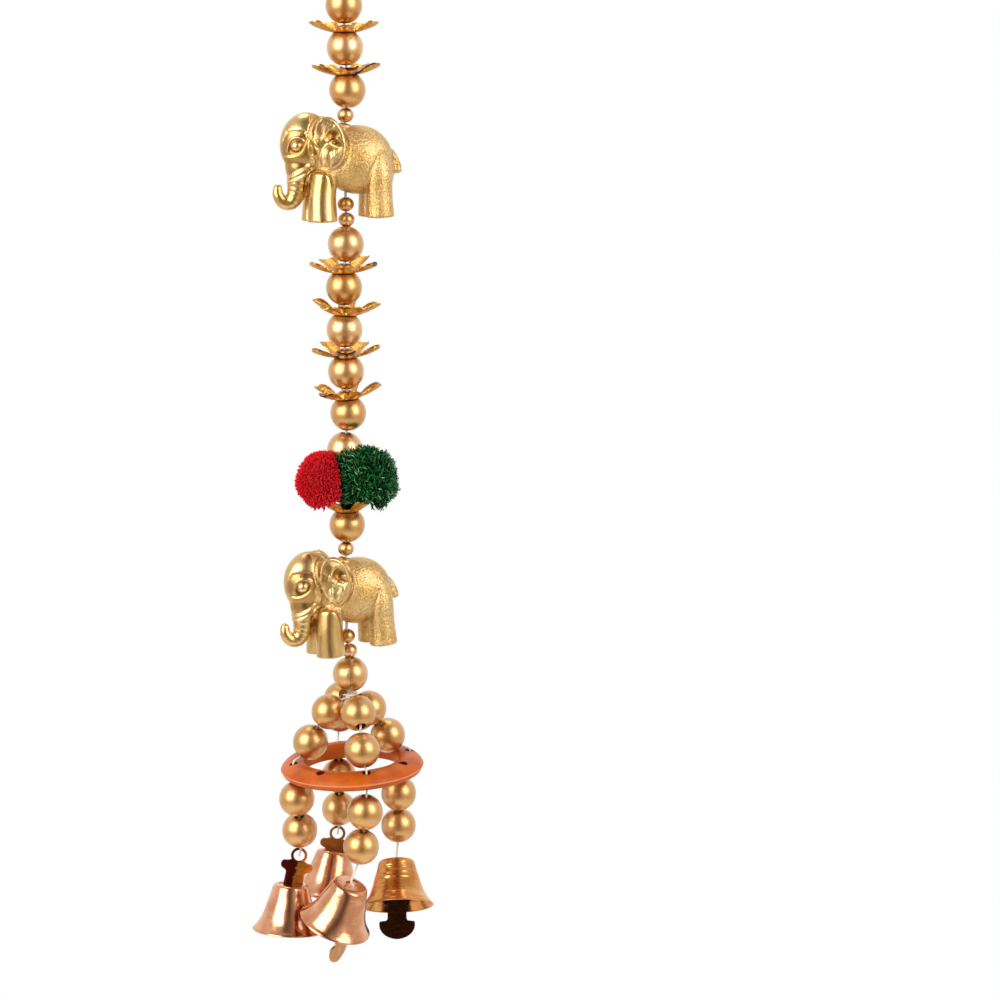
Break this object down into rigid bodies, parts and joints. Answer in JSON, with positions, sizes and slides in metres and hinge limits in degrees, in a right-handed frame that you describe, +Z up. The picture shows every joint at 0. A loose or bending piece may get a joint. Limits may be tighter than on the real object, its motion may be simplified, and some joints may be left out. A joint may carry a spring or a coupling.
{
  "type": "door hanging",
  "caption": "Hanging string of gilt beads, stamped flower caps, small gold elephants and yarn pompoms, ending in a ring of flared metal bells with flat strikers.",
  "frame": {"origin": "top of the thread's hanging loop", "axes": "+Z up along the string, -Y towards the viewer, +X to the viewer's right"},
  "size_m": [0.0619, 0.0598, 0.3456],
  "materials": {
    "gilt_bead": "satin gilt coating on a plastic ball",
    "gilt_paint": "grainy satin gold paint on moulded plastic",
    "brass_sheet": "stamped and gilt thin sheet",
    "copper_sheet": "bright rose-coloured brass",
    "tarnished_strip": "dull dark copper-coloured strip",
    "ring_plastic": "terracotta orange moulded plastic",
    "red_yarn": "soft cut yarn",
    "green_yarn": "glossy cut yarn",
    "thread": "translucent white nylon thread"
  },
  "bodies": {
    "string": {"main_thread": "thread", "bead_01": "gilt_bead", "bead_02": "gilt_bead", "bead_03": "gilt_bead", "bead_04": "gilt_bead", "bead_05": "gilt_bead", "bead_06": "gilt_bead", "bead_07": "gilt_bead", "bead_08": "gilt_bead", "bead_09": "gilt_bead", "bead_10": "gilt_bead", "bead_11": "gilt_bead", "small_bead_1": "gilt_bead", "small_bead_2": "gilt_bead", "small_bead_3": "gilt_bead", "small_bead_4": "gilt_bead", "small_bead_5": "gilt_bead", "small_bead_6": "gilt_bead", "cap_1": "brass_sheet", "cap_2": "brass_sheet", "cap_3": "brass_sheet", "cap_4": "brass_sheet", "cap_5": "brass_sheet", "cap_6": "brass_sheet", "cap_7": "brass_sheet", "pompom_red": "red_yarn", "pompom_green": "green_yarn", "ring": "ring_plastic", "left_thread": "thread", "front_thread": "thread", "right_thread": "thread", "back_thread": "thread", "left_bead_1": "gilt_bead", "left_bead_2": "gilt_bead", "left_bead_3": "gilt_bead", "left_bead_4": "gilt_bead", "front_bead_1": "gilt_bead", "front_bead_2": "gilt_bead", "front_bead_3": "gilt_bead", "front_bead_4": "gilt_bead", "right_bead_1": "gilt_bead", "right_bead_2": "gilt_bead", "right_bead_3": "gilt_bead", "right_bead_4": "gilt_bead", "back_bead_1": "gilt_bead", "back_bead_2": "gilt_bead", "back_bead_3": "gilt_bead", "back_bead_4": "gilt_bead", "left_strip": "tarnished_strip", "front_strip": "tarnished_strip", "right_strip": "tarnished_strip", "back_strip": "tarnished_strip"},
    "upper_elephant": {"elephant_upper": "gilt_paint"},
    "lower_elephant": {"elephant_lower": "gilt_paint"},
    "left_bell": {"left_bell": "copper_sheet"},
    "front_bell": {"front_bell": "copper_sheet"},
    "right_bell": {"right_bell": "copper_sheet"},
    "back_bell": {"back_bell": "copper_sheet"}
  },
  "joints": [
    {"name": "upper_elephant_turn", "type": "hinge", "parent": "string", "child": "upper_elephant", "pos_m": [-0.0002, 0, -0.0796], "axis": [0, 0, 1], "continuous": true},
    {"name": "lower_elephant_turn", "type": "hinge", "parent": "string", "child": "lower_elephant", "pos_m": [-0.0012, 0, -0.2242], "axis": [0, 0, 1], "continuous": true},
    {"name": "left_bell_rock", "type": "hinge", "parent": "string", "child": "left_bell", "pos_m": [-0.021, -0.0015, -0.3228], "axis": [0.9976, -0.0073, -0.069], "range_deg": [-8, 8]},
    {"name": "front_bell_rock", "type": "hinge", "parent": "string", "child": "front_bell", "pos_m": [-0.0006, -0.02, -0.3176], "axis": [0.4695, 0.8829, 0], "range_deg": [-8, 8]},
    {"name": "right_bell_rock", "type": "hinge", "parent": "string", "child": "right_bell", "pos_m": [0.0152, 0.0055, -0.3172], "axis": [0.9999, 0.0074, 0.0134], "range_deg": [-4, 8]},
    {"name": "back_bell_rock", "type": "hinge", "parent": "string", "child": "back_bell", "pos_m": [-0.0062, 0.022, -0.3184], "axis": [0.9855, -0.0353, -0.1663], "range_deg": [-8, 8]}
  ]
}
